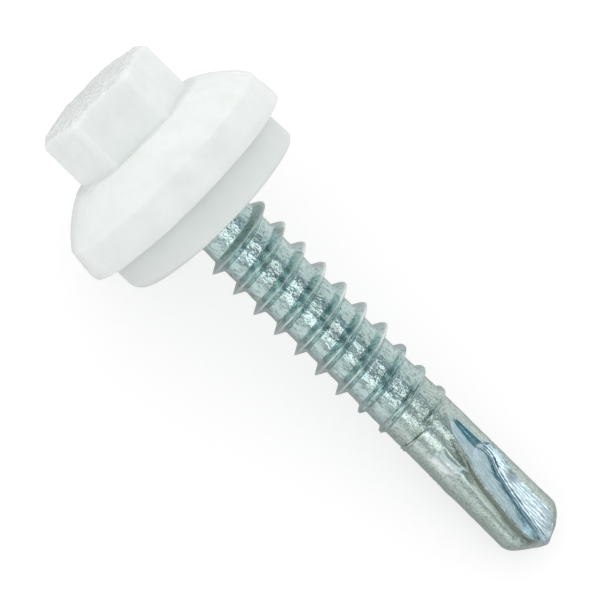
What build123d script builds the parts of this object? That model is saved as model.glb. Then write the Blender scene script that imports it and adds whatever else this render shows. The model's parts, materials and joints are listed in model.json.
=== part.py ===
from build123d import *
from math import atan2, cos, degrees, radians, sin, tan
import os

# Self-drilling roofing screw: a zinc-plated steel screw whose hexagon head is moulded in
# translucent plastic, with a soft sealing washer under the moulded flange.
# Each piece is modelled on the screw's own axis, Z, with the point towards -Z and Z = 0 at the
# washer's sealing face. The screw is then laid down as it comes to rest on a table: on the
# flange's rim and on both edges of the flute that faces down.

# ---- driving dimensions, in millimetres and degrees ----
length_under_washer = 29.7  # from the sealing face to the tip of the drill point

thread_diameter = 5.46
root_diameter = 4.08
thread_pitch = 1.81
thread_flank_angle = 58.0
thread_crest_width = 0.06
thread_crest_bluntness = 0.6  # of the flank's slope, given up by a crest that isn't full
thread_start = 0.35  # the thread begins to rise this far below the sealing face
thread_run_in = 1.15  # length over which it rises to full height
thread_full_length = 11.6  # length of full-height thread below the run-in
thread_run_out = 5.0  # length over which the last turns fade
thread_phase = 1.69  # depth of a crest on the +X side
thread_burial = 0.15  # how far the ridge's foot lies inside the shank
sections_per_turn = 18

drill_neck_diameter = 4.24
drill_diameter = 4.36
point_angle = 106.0
lip_corner_chamfer = 0.2

flute_length = 10.45
flute_start_azimuth = -47.0  # where the flute's valley leaves the surface
flute_start_angle = 105.0  # between the two walls of the V at the flute's start
web_thickness = 0.94  # left between the two valleys at the point
valley_azimuth = -37.0
heel_azimuth = -103.5  # the edges of the flute at the point: its heel and its cutting lip
lip_azimuth = -38.5

hex_across_flats = 7.9
hex_height = 3.95
hex_crown = 0.2
hex_crown_inset = 0.02  # from the rim's chamfer to the foot of the crown
hex_corner_radius = 0.45
hex_rim_chamfer = 0.25
cone_top_diameter = 10.5
cone_height = 2.32
cone_bulge = 0.19  # of the dome above the straight line from its ledge to the rim
rim_top_diameter = 15.84
rim_diameter = 16.3
rim_height = 2.08
rim_edge_chamfer = 0.3

washer_neck_diameter = 13.6
washer_diameter = 13.46
washer_thickness = 2.55
washer_edge_radius = 0.7

core_hex_across_flats = 5.5  # the steel head that the plastic is moulded round
core_hex_height = 3.4
core_collar_diameter = 9.0
core_collar_thickness = 0.9
core_seat = 1.1  # plastic below the collar

# ---- derived sizes ----
thread_radius = thread_diameter / 2
root_radius = root_diameter / 2
drill_radius = drill_diameter / 2
rim_radius = rim_diameter / 2

tip_z = -length_under_washer
lip_z = tip_z + drill_radius / tan(radians(point_angle / 2))
flute_start_z = tip_z + flute_length
thread_top_z = -thread_start
fade_z = thread_top_z - thread_run_in - thread_full_length
thread_end_z = fade_z - thread_run_out

flange_z = washer_thickness
rim_top_z = flange_z + rim_height
ledge_z = rim_top_z + cone_height
hex_top_z = ledge_z + hex_height
collar_z = flange_z + core_seat
core_hex_z = collar_z + core_collar_thickness


def polar(radius, azimuth):
    return Vector(radius * cos(radians(azimuth)), radius * sin(radians(azimuth)))


def turned(*edges):
    """A solid turned about Z from a closed outline, with X as the radius and Y as the height."""
    return revolve(Plane.XZ * make_face(Curve() + list(edges)), Axis.Z)


def hexagon(across_flats, base_z, height):
    """A hexagonal prism with two of its corners on the X axis."""
    outline = RegularPolygon(across_flats / 2, 6, major_radius=False)
    return Pos(0, 0, base_z) * extrude(outline, height)


def lowest_circle(solid):
    """The outermost of a turned solid's lowest edges."""
    return solid.edges().filter_by(GeomType.CIRCLE).group_by(Axis.Z)[0].sort_by(
        lambda edge: edge.radius)[-1]


# ---- the steel screw ----
def blank():
    """The forged blank: drill body, shank, and the collar and hexagon inside the plastic."""
    collar_radius = core_collar_diameter / 2
    shape = turned(Polyline(
        (0, core_hex_z),
        (collar_radius, core_hex_z),
        (collar_radius, collar_z),
        (root_radius, collar_z),
        (root_radius, fade_z),
        (drill_neck_diameter / 2, thread_end_z),
        (drill_radius, lip_z),
        (0, tip_z),
        close=True,
    ))
    shape = chamfer(lowest_circle(shape), lip_corner_chamfer)
    return shape + hexagon(core_hex_across_flats, core_hex_z, core_hex_height)


def thread_section(azimuth, z, crest_radius):
    """One section of the ridge. A low, unfinished crest is blunter than a full one."""
    foot = root_radius - thread_burial
    slope = tan(radians(thread_flank_angle / 2))
    blunting = thread_crest_bluntness * slope * (thread_radius - crest_radius)
    crest = thread_crest_width / 2 + blunting
    base = thread_crest_width / 2 + slope * (thread_radius - foot)
    outline = Polyline((foot, -base), (crest_radius, -crest), (crest_radius, crest), (foot, base),
                       close=True)
    return Pos(0, 0, z) * Rot(0, 0, azimuth) * (Plane.XZ * make_face(outline))


def thread():
    """The right-hand ridge: it rises out of the shank, runs at full height and fades again."""
    turn_at = lambda z: (z + thread_phase) / thread_pitch
    first = round(turn_at(thread_end_z) * sections_per_turn)
    last = round(turn_at(thread_top_z) * sections_per_turn)
    lowest = root_radius - thread_burial / 3
    sections = []
    for step in range(first, last + 1):
        turns = step / sections_per_turn
        z = turns * thread_pitch - thread_phase
        rise = min((thread_top_z - z) / thread_run_in, (z - thread_end_z) / thread_run_out, 1)
        crest_radius = lowest + (thread_radius - lowest) * max(rise, 0)
        sections.append(thread_section(360 * turns, z, crest_radius))
    return loft(sections, ruled=True)


def flute():
    """A straight V that leaves the surface at its upper end and deepens towards the point.

    Its lip wall stays parallel to itself, nearly radial. Its heel wall turns as it deepens.
    """
    start_valley = polar(drill_neck_diameter / 2, flute_start_azimuth)
    end_valley = polar(web_thickness / 2, valley_azimuth)
    lip_wall = (polar(drill_radius, lip_azimuth) - end_valley).normalized()
    end_heel_wall = (polar(drill_radius, heel_azimuth) - end_valley).normalized()
    start_heel_wall = lip_wall.rotate(Axis.Z, -flute_start_angle)
    length = flute_start_z - lip_z
    beyond = 0.15  # of the length: both ends are carried on past the body
    reach = 2 * drill_radius
    sections = []
    for share in (-beyond, 1 + (lip_z - tip_z) / length + beyond):
        valley = start_valley + (end_valley - start_valley) * share
        heel_wall = start_heel_wall + (end_heel_wall - start_heel_wall) * share
        outline = Polyline(valley, valley + heel_wall * reach, valley + lip_wall * reach, close=True)
        sections.append(Pos(0, 0, flute_start_z - length * share) * make_face(outline))
    return loft(sections, ruled=True)


def steel_screw():
    return blank() + thread() - flute() - Rot(0, 0, 180) * flute()


# ---- the moulded head ----
def flange():
    """The domed flange with its upright rim, which leans outwards to its lower edge."""
    ledge = Vector(cone_top_diameter / 2, ledge_z)
    rim_top = Vector(rim_top_diameter / 2, rim_top_z)
    chord = rim_top - ledge
    bulge = Vector(-chord.Y, chord.X).normalized() * cone_bulge
    shape = turned(
        ThreePointArc(ledge, (ledge + rim_top) / 2 + bulge, rim_top),
        Polyline(rim_top, (rim_radius, flange_z), (0, flange_z), (0, ledge_z), ledge),
    )
    return chamfer(lowest_circle(shape), rim_edge_chamfer)


def drive_hexagon():
    """The hexagon for the socket, with rounded corners and a slightly domed end."""
    foot_z = rim_top_z  # carried down into the flange
    shape = hexagon(hex_across_flats, foot_z, hex_top_z - foot_z)
    shape = fillet(shape.edges().filter_by(Axis.Z), hex_corner_radius)
    shape = chamfer(shape.edges().group_by(Axis.Z)[-1], hex_rim_chamfer)
    crown_radius = hex_across_flats / 2 - hex_rim_chamfer - hex_crown_inset
    centre, edge = (0, hex_top_z + hex_crown), (crown_radius, hex_top_z)
    ball_radius = (crown_radius**2 + hex_crown**2) / (2 * hex_crown)
    crown = turned(Polyline(centre, (0, hex_top_z), edge), RadiusArc(edge, centre, -ball_radius))
    return shape + crown


def moulded_head():
    return flange() + drive_hexagon() - blank()


# ---- the sealing washer ----
def sealing_washer():
    ring = turned(Polyline(
        (root_radius, washer_thickness),
        (washer_neck_diameter / 2, washer_thickness),
        (washer_diameter / 2, 0),
        (root_radius, 0),
        close=True,
    ))
    return fillet(lowest_circle(ring), washer_edge_radius)


# ---- the screw at rest ----
def resting_place(pieces):
    """Lays the screw along X, head towards -X, on its rim and on both edges of the lower flute."""
    half_flute = radians((lip_azimuth - heel_azimuth) / 2)
    point_support = drill_radius * cos(half_flute)
    rim_lean = atan2((rim_diameter - rim_top_diameter) / 2, rim_height)
    rim_support = rim_radius - rim_edge_chamfer * sin(rim_lean)
    rim_support_z = flange_z + rim_edge_chamfer * cos(rim_lean)
    tilt = degrees(atan2(rim_support - point_support, rim_support_z - lip_z))
    upper_flute = (heel_azimuth + lip_azimuth) / 2
    lay_down = Rot(0, tilt - 90, 0) * Rot(0, 0, -upper_flute)
    box = Compound([lay_down * piece for piece in pieces]).bounding_box()
    return Pos(-box.center().X, -box.center().Y, -box.min.Z) * lay_down


pieces = {
    "self_drilling_screw": steel_screw(),
    "moulded_head": moulded_head(),
    "sealing_washer": sealing_washer(),
}
place = resting_place(pieces.values())
os.makedirs("parts", exist_ok=True)
for name, piece in pieces.items():
    export_step(place * piece, f"parts/{name}.step")
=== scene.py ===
import json
from math import atan2, ceil, cos, exp, floor, pi, radians, sin, sqrt, tan

import bmesh
import bpy
from bpy.props import FloatProperty, FloatVectorProperty, PointerProperty
from mathutils import Matrix, Vector, noise


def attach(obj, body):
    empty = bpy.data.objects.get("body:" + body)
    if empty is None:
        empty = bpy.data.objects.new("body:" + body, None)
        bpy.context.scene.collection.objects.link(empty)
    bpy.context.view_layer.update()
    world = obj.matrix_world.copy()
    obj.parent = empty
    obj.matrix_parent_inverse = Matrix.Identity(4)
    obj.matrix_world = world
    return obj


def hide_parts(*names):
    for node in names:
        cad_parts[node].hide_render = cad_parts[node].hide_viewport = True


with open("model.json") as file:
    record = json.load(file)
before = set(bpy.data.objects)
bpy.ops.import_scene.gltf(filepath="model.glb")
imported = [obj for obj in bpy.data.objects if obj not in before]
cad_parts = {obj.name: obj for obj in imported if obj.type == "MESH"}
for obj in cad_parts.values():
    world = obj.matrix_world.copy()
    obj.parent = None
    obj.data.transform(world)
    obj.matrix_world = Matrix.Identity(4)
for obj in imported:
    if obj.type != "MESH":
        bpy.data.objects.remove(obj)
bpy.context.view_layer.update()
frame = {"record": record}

bl_info = {
    "name": "Self-drilling roofing screw",
    "version": (1, 0, 0),
    "blender": (4, 5, 0),
    "location": "View3D > Sidebar > Screw",
    "description": "Builds a zinc-plated self-drilling screw with a moulded head and a washer",
    "category": "Object",
}

# Every piece is built about the screw's own axis, Z, with the point towards -Z and Z = 0 at the
# washer's sealing face, and is then laid where the frame has the screw. Azimuths are turned from
# +X, counter-clockwise seen from the head. The upper flat of the hexagon faces -Y.

MM = 0.001
TURN = 2 * pi
SMALLEST = 0.0002 * MM  # points nearer than this are one point
STEEL_SHARP, MOULDED_SHARP = radians(38), radians(40)  # edges that turn more look like corners


# ---- sizes and colours that a user would change ----
def length(name, millimetres, description):
    return FloatProperty(name=name, description=description, default=millimetres * MM,
                         unit="LENGTH", precision=5)


def angle(name, value, description):
    return FloatProperty(name=name, description=description, default=radians(value),
                         unit="ROTATION")


def number(name, value, description):
    return FloatProperty(name=name, description=description, default=value, min=0)


def linear(code):
    """An sRGB hex colour as the linear values that a shader takes."""
    levels = [int(code[place:place + 2], 16) / 255 for place in (1, 3, 5)]
    return [level / 12.92 if level <= 0.04045 else ((level + 0.055) / 1.055) ** 2.4
            for level in levels]


def colour(name, code, description):
    return FloatVectorProperty(name=name, description=description, default=linear(code),
                               subtype="COLOR", min=0, max=1)


class SteelScrewSizes(bpy.types.PropertyGroup):
    """Sizes of the zinc-plated steel screw"""
    point_length: length("Length", 29.68, "From the sealing face to the tip of the drill point")
    thread_diameter: length("Thread diameter", 5.46, "Over the thread's crests")
    root_diameter: length("Root diameter", 4.08, "Between the thread's turns")
    pitch: length("Pitch", 1.81, "From one crest to the next")
    flank_angle: angle("Flank angle", 58, "Between the two flanks of the thread")
    crest_width: length("Crest width", 0.05, "Flat on the thread's crest")
    thread_start: length("Thread start", 0.35, "From the sealing face to the thread's first rise")
    run_in: length("Run-in", 1.15, "Over which the thread rises to its full height")
    full_thread: length("Full thread", 11.6, "Of full height")
    run_out: length("Run-out", 5.0, "Over which the last turns fade")
    crest_depth: length("Crest depth", 1.69, "Of a crest below the sealing face, at azimuth 0")
    neck_diameter: length("Neck diameter", 4.24, "Of the drill at its upper end")
    drill_diameter: length("Drill diameter", 4.36, "Over the cutting lips")
    collar_diameter: length("Collar diameter", 9.0, "Of the steel collar inside the plastic")
    collar_base: length("Collar base", 3.65, "Of the collar's underside above the sealing face")
    collar_thickness: length("Collar thickness", 0.9, "Of the steel collar")
    core_width: length("Core width", 5.5, "Across the flats of the steel inside the plastic")
    core_height: length("Core height", 3.4, "Of the steel hexagon above its collar")
    plate: colour("Zinc plate", "#CAE1D9", "Zinc plate over rolled steel")
    plate_shade: colour("Passivated zinc", "#BED4DA", "Bluer film where the plate is thicker")
    forged: colour("Forged zinc", "#C1D2CA", "Duller plate on the forged drill")
    milled: colour("Milled zinc", "#D3E5EB", "Brighter plate on the smooth walls of the flutes")
    milled_shade: colour("Milled shade", "#B6CBD3", "Where the cutter smeared those walls")
    # Painted shade: a blue-grey film that darkens the flute's valley and walls, a patch beside its
    # lip, and the pinched flat's side towards the heel.
    shade_film: colour("Zinc film", "#8FB3BD", "Blue film in the flute's valley")
    bright_forged: colour("Bright forged zinc", "#DBE7E8", "Patches that the die rubbed")
    # Bright plate: a painted highlight along the thread's crests, and on the pinched flat, which is
    # rubbed bright as well.
    burnish_and_highlight: colour("Burnished zinc", "#E6EFEE", "Bright plate on crests that the dies pressed")
    # Darker zinc: random grey specks and pits, a darker band in the groove behind the heel's bead,
    # and painted shade on the pinched flat's side towards the heel.
    darker_zinc: colour("Stained zinc", "#7C8780", "Where the plating bath dried in a groove")


class MouldedHeadSizes(bpy.types.PropertyGroup):
    """Sizes of the plastic hexagon head and its flange"""
    width: length("Width across flats", 7.9, "Of the drive hexagon")
    corner_radius: length("Corner radius", 0.5, "Of the hexagon's upright edges")
    rim_rounding: length("Rim rounding", 0.3, "Of the hexagon's upper edge")
    top: length("Top", 10.84, "Height of the hexagon's upper edge above the sealing face")
    crown: length("Crown", 0.24, "Rise of the hexagon's end above its edge")
    corner_drop: length("Corner drop", 0.3, "Of the end's corners below the middles of its sides")
    ledge: length("Ledge", 6.88, "Height of the flange where the hexagon stands on it")
    ledge_diameter: length("Ledge diameter", 10.5, "Of the flange's flat top")
    rim_top: length("Rim top", 4.63, "Height of the rim's upper edge")
    rim_top_diameter: length("Rim top diameter", 15.78, "Of the rim's upper edge")
    dome: length("Dome", 0.19, "Of the flange's top over a straight cone")
    rim_diameter: length("Rim diameter", 16.22, "Of the rim's lower edge")
    rim_edge_radius: length("Rim edge radius", 0.16, "Of the rim's lower edge")
    rim_droop: length("Rim droop", 0.14, "Of the rim's lower edge below the flange's underside")
    base: length("Base", 2.55, "Height of the flange's underside")
    clear: colour("Clear plastic", "#ECF1EE", "Polyethylene where it is less cloudy")
    milky: colour("Milky plastic", "#F2F6F5", "Cloudy polyethylene")
    roughness: number("Roughness", 0.22, "Of the moulded skin")


class WasherSizes(bpy.types.PropertyGroup):
    """Sizes of the soft sealing washer"""
    upper_diameter: length("Upper diameter", 13.6, "Under the flange")
    lower_diameter: length("Lower diameter", 13.6, "Above the rounded edge")
    bore: length("Bore", 4.08, "Gripping the shank")
    thickness: length("Thickness", 2.55, "Where it isn't squeezed")
    edge_radius: length("Edge radius", 0.22, "Of the lower edge where it is sharpest")
    wear: length("Wear", 0.5, "How much rounder the edge is on its -X side")
    bulge: length("Bulge", 0.12, "Of the lower face, in front and behind")
    askew: length("Askew", 0.1, "How far its lower face has slipped towards +X")
    clear: colour("Clear rubber", "#E6EBE9", "Thermoplastic rubber where it is less cloudy")
    milky: colour("Milky rubber", "#E9EEEC", "Cloudy thermoplastic rubber")
    roughness: number("Roughness", 0.5, "Of the matt skin")


class StudioSettings(bpy.types.PropertyGroup):
    """Camera, light and floor round the screw"""
    camera_rise: angle("Camera rise", 9, "Of the line of sight over the screw's cross-section")
    camera_distance: length("Camera distance", 700, "From the screw's middle")
    view_width: length("View width", 37.383, "What the view takes in, side to side")
    view_middle_x: length("View middle X", -0.031, "Middle of the view, across the screw")
    view_middle_z: length("View middle Z", -7.64, "Middle of the view, along the screw")
    floor_size: length("Floor size", 4000, "Along each side")
    light: colour("Light", "#E6E9E8", "Of the pale walls that the metal mirrors")
    level: number("Light level", 1.0, "Of the light that falls on matt surfaces")
    soft_box: number("Soft box", 1.6, "Strength of the two boxes by the camera")
    lens_shade: colour("Lens shade", "#A2ABB0", "Of the dim wall behind the camera")
    left_shade: colour("Left shade", "#BCC1C4", "Of the dim wall left of the soft boxes")
    side_shade: colour("Side shade", "#8C9BA3", "Of the dim walls on the right and below")
    dark_card: colour("Dark card", "#4C5C64", "Of the card above the soft boxes")
    paper: colour("Paper", "#EFEFEF", "Of the matt floor")
    seen_paper: colour("Seen paper", "#AAAAAA", "Of the floor where it is seen and glows as well")


class ScrewPartSettings(bpy.types.PropertyGroup):
    """Settings of the whole roofing screw"""
    steel: PointerProperty(type=SteelScrewSizes)
    head: PointerProperty(type=MouldedHeadSizes)
    washer: PointerProperty(type=WasherSizes)
    studio: PointerProperty(type=StudioSettings)


# ---- the frame ----
def mount(name):
    return next(entry for entry in frame["record"]["mounts"] if entry["name"] == name)


def screw_axes():
    """The screw's own axes where the frame has them."""
    up = -Vector(mount("sheet_seat")["axis"])
    back = -Vector(mount("drive_flat")["axis"])
    turn = Matrix((back.cross(up), back, up)).transposed().to_4x4()
    return Matrix.Translation(mount("sheet_seat")["pos_m"]) @ turn


# ---- mesh helpers ----
def polar(radius, azimuth, z=0.0):
    return Vector((radius * cos(azimuth), radius * sin(azimuth), z))


def hexagon_radius(azimuth, half_width, corner):
    """From the axis to a hexagon's outline. It has rounded corners at azimuths 0, 60 and so on."""
    from_flat = abs(azimuth % (pi / 3) - pi / 6)
    if half_width * tan(from_flat) <= (half_width - corner) * tan(pi / 6):
        return half_width / cos(from_flat)
    centre = (half_width - corner) / cos(pi / 6)
    away = pi / 6 - from_flat
    return centre * cos(away) + sqrt(corner * corner - (centre * sin(away)) ** 2)


def grow(mesh, ring, places):
    """Extrudes a closed ring of vertices to new places, one for each, and returns the new ring."""
    edges = [mesh.edges.get((ring[index - 1], ring[index])) for index in range(len(ring))]
    made = bmesh.ops.extrude_edge_only(mesh, edges=edges)["geom"]
    fresh = {part for part in made if isinstance(part, bmesh.types.BMVert)}
    grown = []
    for vertex, place in zip(ring, places):
        partner = next(edge.other_vert(vertex) for edge in vertex.link_edges
                       if edge.other_vert(vertex) in fresh)
        partner.co = place
        grown.append(partner)
    return grown


def close_ring(mesh, ring, centre):
    """Draws a ring together in one point."""
    last = grow(mesh, ring, [centre] * len(ring))
    bmesh.ops.pointmerge(mesh, verts=last, merge_co=centre)


def finish_piece(mesh, name, sharp_angle):
    """Makes a closed mesh a piece of the object, laid where the frame has the screw."""
    bmesh.ops.remove_doubles(mesh, verts=mesh.verts, dist=SMALLEST)
    bmesh.ops.dissolve_degenerate(mesh, edges=mesh.edges, dist=SMALLEST)
    bmesh.ops.recalc_face_normals(mesh, faces=mesh.faces)
    data = bpy.data.meshes.new(name)
    mesh.to_mesh(data)
    mesh.free()
    data.transform(screw_axes())
    data.shade_smooth()
    data.set_sharp_from_angle(angle=sharp_angle)
    piece = bpy.data.objects.new(name, data)
    bpy.context.scene.collection.objects.link(piece)
    return piece


def smooth_step(value):
    value = min(max(value, 0.0), 1.0)
    return value * value * (3 - 2 * value)


def soft_greater(first, second, blend):
    """The greater of two lengths, with a fillet of about the blend's size where they meet."""
    overlap = max(blend - abs(first - second), 0.0) / blend
    return max(first, second) + overlap * overlap * blend / 4


def soft_lesser(first, second, blend):
    return -soft_greater(-first, -second, blend)


def curve_through(*stations):
    """A smooth curve through stations of (distance, value) that doesn't overshoot them."""
    rises = [(high[1] - low[1]) / (high[0] - low[0]) for low, high in zip(stations, stations[1:])]
    slopes = [0.0]
    for before, after in zip(rises, rises[1:]):
        slopes.append(2 * before * after / (before + after) if before * after > 0 else 0.0)
    slopes.append(0.0)
    slopes[0], slopes[-1] = rises[0], rises[-1]

    def value_at(distance):
        if distance <= stations[0][0]:
            return stations[0][1]
        if distance >= stations[-1][0]:
            return stations[-1][1]
        span = next(index for index, station in enumerate(stations) if distance < station[0])
        (start, low), (end, high) = stations[span - 1], stations[span]
        width = end - start
        share = (distance - start) / width
        bend = slopes[span - 1] * (1 - share) - slopes[span] * share
        straight = low + (high - low) * share
        fit = (high - low) / width * (2 * share - 1)
        return straight + share * (1 - share) * width * (bend + fit)

    return value_at


# ---- the steel screw ----
RING_POINTS = 176
LAND_POINTS = 49  # of each half ring: the land, then the flute's heel wall, floor and lip wall
HEEL_WALL_POINTS = 13
FLOOR_POINTS = 12
LIP_WALL_POINTS = 14

# How high the thread's last turns are, as a share of its full height, over the run-out.
fading_rise = curve_through((-0.26, 0), (-0.16, 0.14), (-0.04, 0.3), (0.07, 0.43), (0.2, 0.47),
                            (0.35, 0.5), (0.58, 0.6), (1, 1))
# After them a faint, uneven ridge goes on: its share of the full height, and its length in mm.
FAINT_RISE, FAINT_LENGTH = 0.09, 1.2
UNEVENNESS = 2.2  # waves of the crests' unevenness, to the millimetre along the screw

# The thread's finish, in millimetres.
CREST_ROUNDING = 0.12
CREST_GAIN = 0.02  # in height, for what the rounding takes off
ROOT_FILLET = 0.1
BLUNTING = 0.5  # of the flank's slope, given up by a crest that isn't full

# A crest that isn't full has an open seam along it, of this depth in millimetres.
CREST_SEAM = 0.09
SEAM_SHARE = 0.4  # of the crest's half width
SEAM_OPENS, SEAM_CLOSES = 0.2, 0.25  # shares of the full height, from no thread and to a full one

# Half of the thread's profile: distances from the middle of its crest, the last at half a pitch.
PROFILE_STEPS = (0.0, 0.012, 0.03, 0.06, 0.12, 0.2, 0.28, 0.335, 0.375, 0.405, 0.44, 0.5, 0.6, 0.74)

# The drill's end on its -X and +X sides: (height above the tip, radius). It is blunt in the
# middle, and one side is worn flatter than the other.
end_left = curve_through((0, 0), (0.02, 0.1), (0.1, 0.24), (0.233, 0.48), (0.486, 0.816),
                         (0.99, 1.47), (1.243, 1.776), (1.495, 1.988), (1.747, 2.11), (2.0, 2.17),
                         (2.6, 2.3))
end_right = curve_through((0, 0), (0.02, 0.12), (0.1, 0.3), (0.233, 0.567), (0.486, 1.115),
                          (0.738, 1.483), (0.99, 1.769), (1.243, 1.969), (1.495, 2.106),
                          (1.747, 2.175), (2.0, 2.19), (2.6, 2.3))

# The flute that faces -Y: its edges in degrees of azimuth, its valley and the crease between its
# floor and its lip wall in millimetres, all over the height above the tip.
FLUTE_START = 10.45
EVEN_RING = 11.05  # at this height the drill's first ring has evenly spaced points
EVEN_HEEL, EVEN_LIP = -93.0, -5.5
SECTION_STEP = 0.065  # from one of the drill's sections to the next
NOTCH = 7.8  # above it the flute is only its narrow start
LAND_CROWDING = 0.3  # of the land's points towards its heel

heel_azimuth = curve_through((0, -106), (1.2, -105.5), (2.15, -102.5), (3.1, -101.5), (4.35, -97.5),
                             (5.65, -94), (6.85, -88.5), (7.8, -80.5), (8.75, -75.5), (9.7, -70),
                             (10.2, -60.5), (FLUTE_START, -53), (EVEN_RING, EVEN_HEEL))
lip_azimuth = curve_through((0, -40.5), (1.5, -40), (4.6, -39.8), (5, -38.5), (5.55, -33.5),
                            (6.2, -27), (6.8, -22.5), (7.2, -24), (7.65, -34), (7.85, -41.5),
                            (9.8, -43), (FLUTE_START, -45), (EVEN_RING, EVEN_LIP))
valley_x = curve_through((0, -0.12), (1.2, -0.06), (2.5, 0.06), (3.5, 0.28), (4.35, 0.48),
                         (5.6, 0.78), (6.85, 1.23), (7.5, 1.25), (7.9, 1.1), (9.8, 1.28),
                         (10.2, 1.33), (FLUTE_START, 1.42))
valley_y = curve_through((0, -0.5), (1.2, -1.25), (2.5, -1.5), (3.5, -1.44), (4.35, -1.37),
                         (5.6, -1.21), (6.85, -0.97), (7.5, -1.05), (7.9, -1.4), (9.8, -1.5),
                         (10.2, -1.64), (FLUTE_START, -1.645))
crease_x = curve_through((0, 0.24), (1.2, 0.36), (2.5, 0.57), (3.5, 0.79), (4.35, 1.02),
                         (5.6, 1.34), (6.1, 1.46), (6.85, 1.66), (7.4, 1.68), (7.9, 1.35),
                         (9.8, 1.42), (10.2, 1.42), (FLUTE_START, 1.46))
crease_y = curve_through((0, -0.4), (1.2, -0.91), (2.5, -1.05), (3.5, -1.11), (4.35, -1.18),
                         (5.6, -1.05), (6.85, -0.72), (7.4, -0.8), (7.9, -1.05), (9.8, -1.3),
                         (10.2, -1.58), (FLUTE_START, -1.6))
FLOOR_SAG = 0.2  # of the flute's floor below a straight line, as a share of its width

# Painted shade in the flute, given as a blue-grey film: a band along its valley, the short wall at
# its start and a patch beside the lip, where the flute's walls mirror each other darkly. It is thin
# on the rest.
HEEL_SHADE_FILM, FLOOR_SHADE_FILM = 0.3, 0.15
valley_shade_film = curve_through((2.2, 0), (2.9, 1), (6.5, 1), (7.0, 0.2), (7.7, 0.2), (7.85, 1),
                            (10, 0.8), (10.3, 0))
lip_shade_film = curve_through((4.8, 0), (5.4, 0.75), (6.8, 0.75), (7.3, 0.2), (7.7, 0.2), (7.85, 1),
                         (10, 0.8), (10.3, 0))
BAND_SHARE = 0.5  # of the floor's width that the band takes up
PATCH_SHARE = 0.55  # of the lip wall's width, from which the patch goes out to the lip

# Beside the heel the pinched metal stands up in a bead, with a shallow groove behind it:
# (distance from the heel's edge, rise).
heel_bead = curve_through((0, 0), (0.07, 0.035), (0.16, 0.02), (0.28, -0.04), (0.45, -0.09),
                          (0.65, -0.07), (0.9, -0.02), (1.2, 0))
# How much darker the plate is in the groove behind the bead, by distance from the heel's edge, and
# how high up the drill the bead and its darker groove reach.
heel_darkening = curve_through((0, 0.1), (0.1, 0.5), (0.25, 1), (0.5, 0.9), (0.8, 0.4), (1.1, 0))
bead_height = curve_through((0.6, 0), (1.2, 1), (8.6, 1), (9.6, 0))

LAND_RADIUS = 2.15  # in millimetres, for distances round the land

# Marks on the drill's land: (azimuth, height above the tip, rise, half its width, half its height).
LAND_MARKS = ((-106, 8.25, -0.05, 0.3, 0.95), (-121, 6.0, -0.035, 0.35, 0.3),
              (-128, 6.5, 0.02, 0.3, 0.3), (-117, 1.6, -0.06, 0.22, 0.25),
              (-135, 1.2, 0.03, 0.4, 0.2))

# Behind the heel the die pinched a shallow, ragged flat into the land. It is rubbed bright, with a
# painted highlight on top of that, and its side towards the heel has painted shade.
PINCH = (-117, 8.35, 0.72, 1.15)  # azimuth, height above the tip, half its width, half its height
PINCH_DEPTH = 0.045
PINCH_EDGE = 0.25  # how ragged and how soft its outline is, as a share of its size
DARKENED_FROM, DARKENED_OVER = -114, 0.25  # azimuth in degrees, and millimetres round the land
# Its side towards the heel is painted shade: smoother plate with darker zinc and the shade film,
# where the flat mirrors dim light.
PINCH_MILLED, PINCH_DARKENING, PINCH_SHADE_FILM = 0.15, 0.6, 0.2  # the finish of its stained side

# The forging dies met here and left a short, ragged lip.
SEAM_AZIMUTH, SEAM_WIDTH = 181, 0.12
SEAM_WAVES = 7  # of its raggedness, to the millimetre
seam_height = curve_through((6.5, 0), (6.7, 0.06), (8.2, 0.045), (9.6, 0.0))

RUBBED_SHINE = 0.8  # how much less forged the steel looks where it is rubbed

# In millimetres: the thread's height where the dies have pressed it smooth, and the height from
# which, and over which, its crests get a painted highlight, a line of bright plate. The streaks of
# its run-out start above that and end, over a short way, above the tip.
PRESSED_AT, CREST_HIGHLIGHT_FROM, CREST_HIGHLIGHT_OVER = 0.16, 0.5, 0.12
STREAKS_ABOVE, STREAKS_END, STREAKS_OVER = 0.9, 9.9, 1.2
PLAIN_ABOVE = 0.1  # height of the plain shank that is kept above the thread's start
STEEL_WAVES = ((0.9, 0.024), (0.42, 0.014), (0.24, 0.008))  # (wavelength, rise) in millimetres

# How far each finish covers the steel, from 0 to 1, kept with the mesh for its material. The
# darkened, shade-filmed and bright layers also carry painted shade and a painted highlight.
SURFACE_LAYERS = ("milled", "darkened", "shade_filmed", "forged", "streaked", "pressed", "burnish_and_highlight")


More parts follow.
